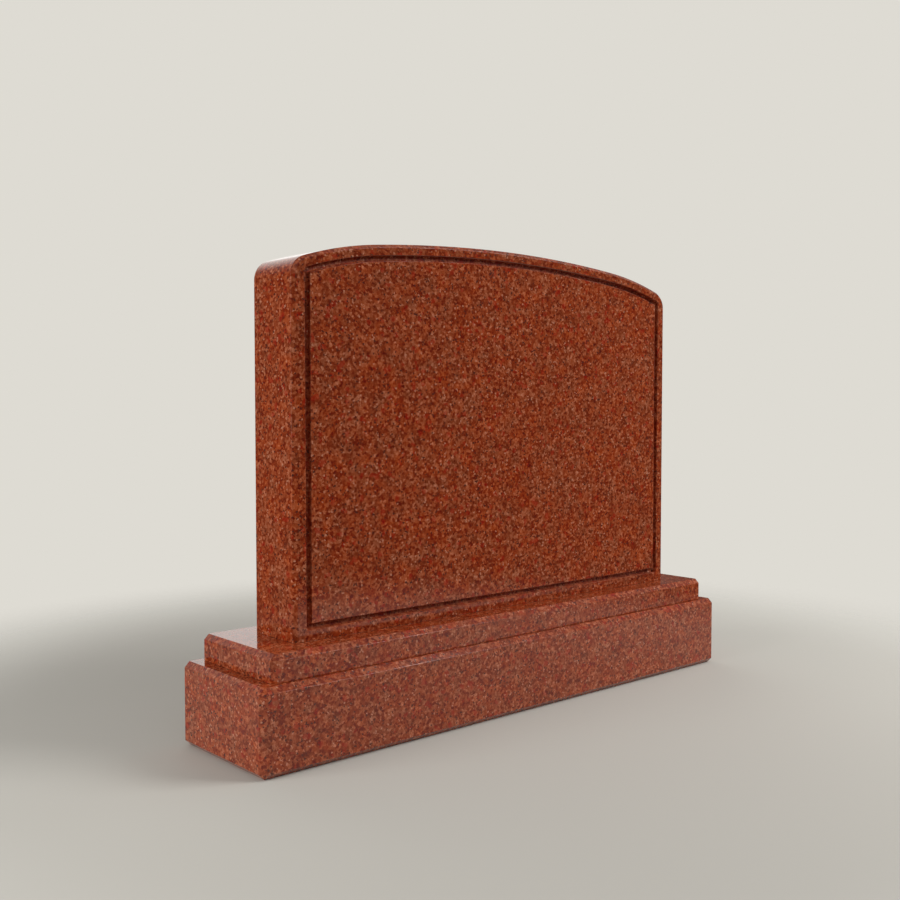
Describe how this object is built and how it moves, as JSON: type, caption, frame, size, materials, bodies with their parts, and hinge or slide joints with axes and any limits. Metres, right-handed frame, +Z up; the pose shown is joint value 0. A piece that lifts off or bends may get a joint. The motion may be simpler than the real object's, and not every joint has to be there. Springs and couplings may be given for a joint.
{
  "type": "arched headstone",
  "caption": "Upright arched headstone with a bare panel inside an incised border, on a thin step and a thick base block, in polished red granite.",
  "frame": {"origin": "on the ground under the middle of the base block", "axes": "+X along the width, to the right of someone who faces the front; +Y from the front with its border groove to the back; +Z up"},
  "size_m": [1, 0.216, 0.7376],
  "materials": {
    "tablet_granite": "polished",
    "step_granite": "polished",
    "base_granite": "polished"
  },
  "bodies": {
    "root": {"headstone_tablet": "tablet_granite", "step_course": "step_granite", "base_block": "base_granite"}
  },
  "joints": []
}
